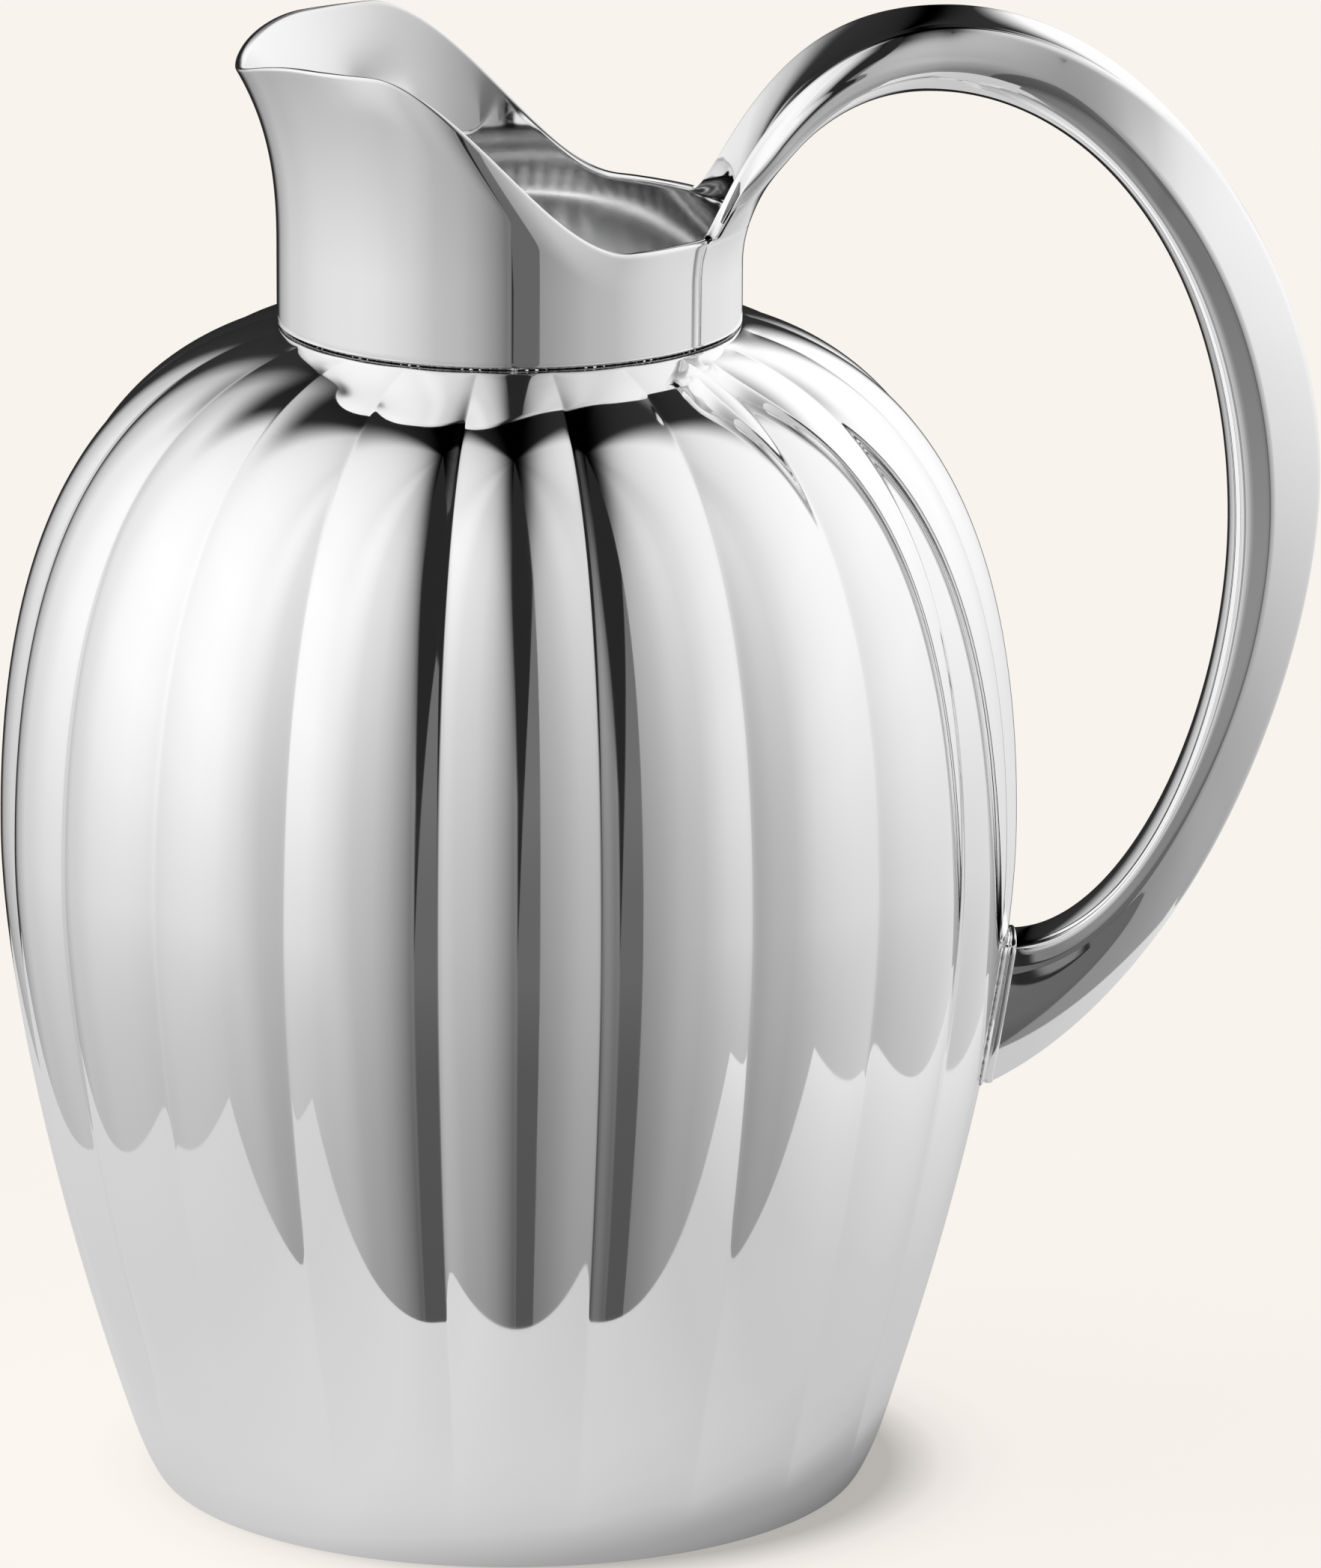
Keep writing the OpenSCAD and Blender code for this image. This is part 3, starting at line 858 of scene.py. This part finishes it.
def studio_world():
    """Two tall soft lights, left and right, seen only in reflections.

    It is dark in the gap between them in front, in a slot behind and overhead. The
    camera itself sees plain cream, wherever it stands.
    """
    world = bpy.data.worlds.new("studio")
    bpy.context.scene.world = world
    world.use_nodes = True
    world.cycles_visibility.diffuse = False
    n = Nodes(world.node_tree)
    direction = n.add("ShaderNodeTexCoord").outputs["Generated"]
    parts = n.add("ShaderNodeSeparateXYZ", {"Vector": direction})
    x, y, z = (parts.outputs[k] for k in "XYZ")
    degrees = 180 / math.pi
    azimuth = n.math("MULTIPLY", n.math("ARCTAN2", x, n.math("MULTIPLY", y, -1)), degrees)
    elevation = n.math("MULTIPLY", n.math("ARCSINE", z), degrees)
    sideways = n.ramp(azimuth, [
        (-180, 0.02), (-165, 0.03), (-157, 0.5), (-140, 0.79), (-128, 0.82), (-112, 0.92),
        (-98, 0.95), (-82, 0.96), (-68, 0.93), (-52, 0.80), (-38, 0.63), (-25, 0.58),
        (-16, 0.48), (-9, 0.36), (-5, 0.28), (-3, 0.22), (13.5, 0.36), (17, 0.38),
        (25, 0.43), (38, 0.54), (52, 0.59), (68, 0.77), (82, 0.85), (98, 0.90), (120, 0.93),
        (142, 0.98), (165, 0.96), (171, 0.03), (180, 0.02),
    ], -180, 180)
    by_front = n.ramp(elevation, [
        (-90, 0.4), (-45, 0.5), (-35, 0.6), (-25, 0.72), (-15, 0.80), (-5, 0.89), (5, 1.0),
        (15, 1.10), (25, 1.18), (35, 1.24), (45, 1.28), (55, 1.27), (65, 1.2), (90, 1.2),
    ], -90, 90)
    by_side = n.ramp(elevation, [
        (-90, 0.35), (-45, 0.42), (-35, 0.50), (-25, 0.60), (-15, 0.76), (-5, 0.91), (5, 1.0),
        (25, 1.04), (35, 1.02), (45, 1.0), (55, 0.95), (65, 0.90), (75, 0.84), (90, 0.8),
    ], -90, 90)
    from_front = n.span(n.math("ABSOLUTE", azimuth), 42, 68, 0, 1)
    tall = n.add("ShaderNodeMix", {"Factor": from_front, "A": by_front, "B": by_side})
    boxes = n.math("MULTIPLY", sideways, tall.outputs["Result"])
    flat_x = n.math("MAXIMUM", n.math("ABSOLUTE", x), 1e-4)
    steepness = n.math("DIVIDE", n.math("MAXIMUM", z, 0), flat_x)
    left_fade = n.math("POWER", n.math("DIVIDE", steepness, 8), 2.2)
    right_fade = n.math("POWER", n.math("DIVIDE", steepness, 6), 3.3)
    is_right = n.math("GREATER_THAN", x, 0)
    fade = n.math("ADD", n.math("MULTIPLY", left_fade, n.math("SUBTRACT", 1, is_right)),
                  n.math("MULTIPLY", right_fade, is_right))
    boxes = n.math("DIVIDE", boxes, n.math("ADD", 1, fade))
    behind = n.span(n.math("ABSOLUTE", azimuth), 120, 142, 0, 1)
    above = n.span(elevation, 30, 50, 0, 0.97)
    boxes = n.math("MULTIPLY", boxes, n.math("SUBTRACT", 1, n.math("MULTIPLY", behind, above)))
    gap_left = n.span(elevation, 0, 50, -0.8, -5)
    in_gap = n.math("MULTIPLY",
                    n.span(azimuth, gap_left, n.math("ADD", gap_left, 1.0), 0, 1),
                    n.math("LESS_THAN", azimuth, 13.5))
    panel_left = n.math("ADD", n.math("MULTIPLY", elevation, 0.22), 3.5)
    panel = n.ramp(elevation, [
        (-90, 0.06), (-40, 0.084), (-30, 0.093), (-20, 0.127), (-10, 0.13), (0, 0.153),
        (40, 0.153), (46, 0.02), (90, 0.02),
    ], -90, 90)
    on_panel = n.span(azimuth, n.math("SUBTRACT", panel_left, 0.3), panel_left, 0, 1)
    in_gap_light = n.add("ShaderNodeMix", {"Factor": on_panel, "A": 0.02, "B": panel})
    light = n.add("ShaderNodeMix", {
        "Factor": in_gap, "A": boxes, "B": in_gap_light.outputs["Result"],
    })
    rays = n.add("ShaderNodeLightPath")
    reflected = n.add("ShaderNodeBackground", {"Color": light.outputs["Result"], "Strength": 1.05})
    seen = n.add("ShaderNodeBackground", {"Color": CREAM, "Strength": 1.0})
    choose = n.add("ShaderNodeMixShader", {"Fac": rays.outputs["Is Camera Ray"]})
    n.put(choose, 1, reflected.outputs["Background"])
    n.put(choose, 2, seen.outputs["Background"])
    out = n.add("ShaderNodeOutputWorld")
    n.put(out, "Surface", choose.outputs["Shader"])


def plain_plane(name, low_x, high_x, low_y, high_y, z, material):
    mesh = bpy.data.meshes.new(name)
    corners = [(low_x, low_y, z), (high_x, low_y, z), (high_x, high_y, z), (low_x, high_y, z)]
    mesh.from_pydata([tuple(v * MM for v in corner) for corner in corners], [], [(0, 1, 2, 3)])
    mesh.materials.append(material)
    plane = bpy.data.objects.new(name, mesh)
    bpy.context.scene.collection.objects.link(plane)
    return plane


def painted_contact_shadow(n, parts, shift, stops):
    """Painted contact shadow round the base: parts is the place, shift moves its centre toward +X.
    """
    off = n.math("SUBTRACT", parts.outputs["X"], shift)
    y = parts.outputs["Y"]
    reach = n.math("SQRT", n.math("ADD", n.math("MULTIPLY", off, off), n.math("MULTIPLY", y, y)))
    return n.ramp(reach, stops, stops[0][0], stops[-1][0])


def floor_material():
    """Pale floor: mostly its own even tone, with a painted contact shadow round the base, and a
    small share that takes the sun's shadow.
    """
    material, n = new_material("floor")
    where = n.add("ShaderNodeTexCoord").outputs["Object"]
    parts = n.add("ShaderNodeSeparateXYZ", {"Vector": where})
    # painted shadow: the floor's glow is darkened round the base, a little toward +X
    painted_shadow = painted_contact_shadow(n, parts, 0.007, [
        (0.05, 0.5), (0.054, 0.7), (0.058, 0.88), (0.063, 0.96), (0.071, 1.0),
    ])
    tone = n.math("MULTIPLY", painted_shadow, 0.94)
    glow = n.add("ShaderNodeEmission", {"Color": CREAM, "Strength": tone})
    matt = n.add("ShaderNodeBsdfDiffuse", {"Color": (0.15, 0.144, 0.136, 1)})
    both = n.add("ShaderNodeAddShader")
    n.put(both, 0, glow.outputs["Emission"])
    n.put(both, 1, matt.outputs["BSDF"])
    n.surface(both.outputs["Shader"])
    return material


def table_material():
    """White table top as the pitcher's lower half reflects it: a sheet that glows, though it is no
    lamp, with painted light that changes along X and a painted contact shadow round the base.
    """
    material, n = new_material("table_top")
    where = n.add("ShaderNodeTexCoord").outputs["Object"]
    parts = n.add("ShaderNodeSeparateXYZ", {"Vector": where})
    # painted light: the table's brightness along X stands for how the light falls on it
    tone = n.ramp(parts.outputs["X"], [
        (-0.16, 0.66), (-0.1, 0.63), (-0.06, 0.66), (-0.03, 0.69), (0, 0.64), (0.04, 0.60),
        (0.07, 0.56), (0.11, 0.58), (0.16, 0.68), (0.2, 0.78),
    ], -0.16, 0.2)
    # painted contact shadow round the base, a little toward +X
    painted_shadow = painted_contact_shadow(n, parts, 0.008, [
        (0.045, 0.3), (0.05, 0.5), (0.053, 0.58), (0.056, 0.72), (0.06, 0.88), (0.066, 0.96),
        (0.075, 1.0),
    ])
    bright = n.math("MULTIPLY", tone, painted_shadow)
    glow = n.add("ShaderNodeEmission", {"Color": bright, "Strength": 1.05})
    n.surface(glow.outputs["Emission"])
    return material


def build_studio():
    """The camera sees the floor; reflections see the table top in its place."""
    studio_world()
    floor = plain_plane("floor", -4000, 4000, -4000, 4000, -0.2, floor_material())
    floor.visible_glossy = False
    floor.visible_diffuse = False
    table = plain_plane(
        "table_top", TABLE_LOW[0], TABLE_HIGH[0], TABLE_LOW[1], TABLE_HIGH[1], -0.1,
        table_material(),
    )
    table.visible_camera = False
    table.visible_diffuse = False
    table.visible_shadow = False
    fill_data = bpy.data.lights.new("mouth_fill", "AREA")
    fill_data.shape = "DISK"
    fill_data.size = 60 * MM
    fill_data.energy = 0.028
    fill = bpy.data.objects.new("mouth_fill", fill_data)
    fill.location = (0, 0, 178 * MM)
    fill.visible_camera = False
    bpy.context.scene.collection.objects.link(fill)
    sun_data = bpy.data.lights.new("sun", "SUN")
    sun_data.energy = 0.4 * math.pi
    sun_data.angle = math.radians(50)
    sun = bpy.data.objects.new("sun", sun_data)
    sun.rotation_euler = Vector((0.4, 0.1, -1)).to_track_quat("-Z", "Y").to_euler()
    sun.visible_glossy = False
    bpy.context.scene.collection.objects.link(sun)


# ---- camera -------------------------------------------------------------------


def build_camera():
    """A long lens a little above the pitcher, almost square to its side."""
    elevation = math.radians(14.39)
    azimuth = math.radians(-1.173)
    distance = 1700.0
    focus = Vector((0, 0, 110))
    toward = Vector((
        -math.sin(azimuth) * math.cos(elevation), math.cos(azimuth) * math.cos(elevation),
        -math.sin(elevation),
    ))
    right = toward.cross(Vector((0, 0, 1))).normalized()
    up = right.cross(toward)
    place_at = focus - toward * distance
    aim = focus + right * 22.3 - up * 5.6
    toward = (aim - place_at).normalized()
    right = toward.cross(Vector((0, 0, 1))).normalized()
    up = right.cross(toward)
    roll = math.radians(0.25)
    level_right = right * math.cos(roll) + up * math.sin(roll)
    level_up = up * math.cos(roll) - right * math.sin(roll)
    data = bpy.data.cameras.new("camera")
    data.sensor_fit = "VERTICAL"
    data.sensor_height = 24
    data.lens = 176.5
    data.clip_end = 20
    camera = bpy.data.objects.new("camera", data)
    turn = Matrix((level_right, level_up, -toward)).transposed().to_4x4()
    camera.matrix_world = Matrix.Translation(place_at * MM) @ turn
    bpy.context.scene.collection.objects.link(camera)
    bpy.context.scene.camera = camera


# ---- everything ---------------------------------------------------------------

steel = polished_steel()
satin = satin_steel()
weld = weld_steel()

build_belly(steel)
build_base_pan(satin)
weld_ring("base_weld", PAN_R - 0.2, PAN_T / 2, 0.2, 0.3, 300, 0, weld, "base_seam_weld")
build_collar(steel)
weld_ring("collar_weld", NECK_R - 1.2, SEAM_Z + 0.25, 0.42, 0.3, 150, 0.8, weld, "neck_seam_weld")
handle = build_handle(steel)
build_root_band(steel)
build_saddle(handle, steel)
build_foot_braze(handle, weld)
build_studio()
build_camera()
bpy.context.scene.view_settings.view_transform = "Standard"
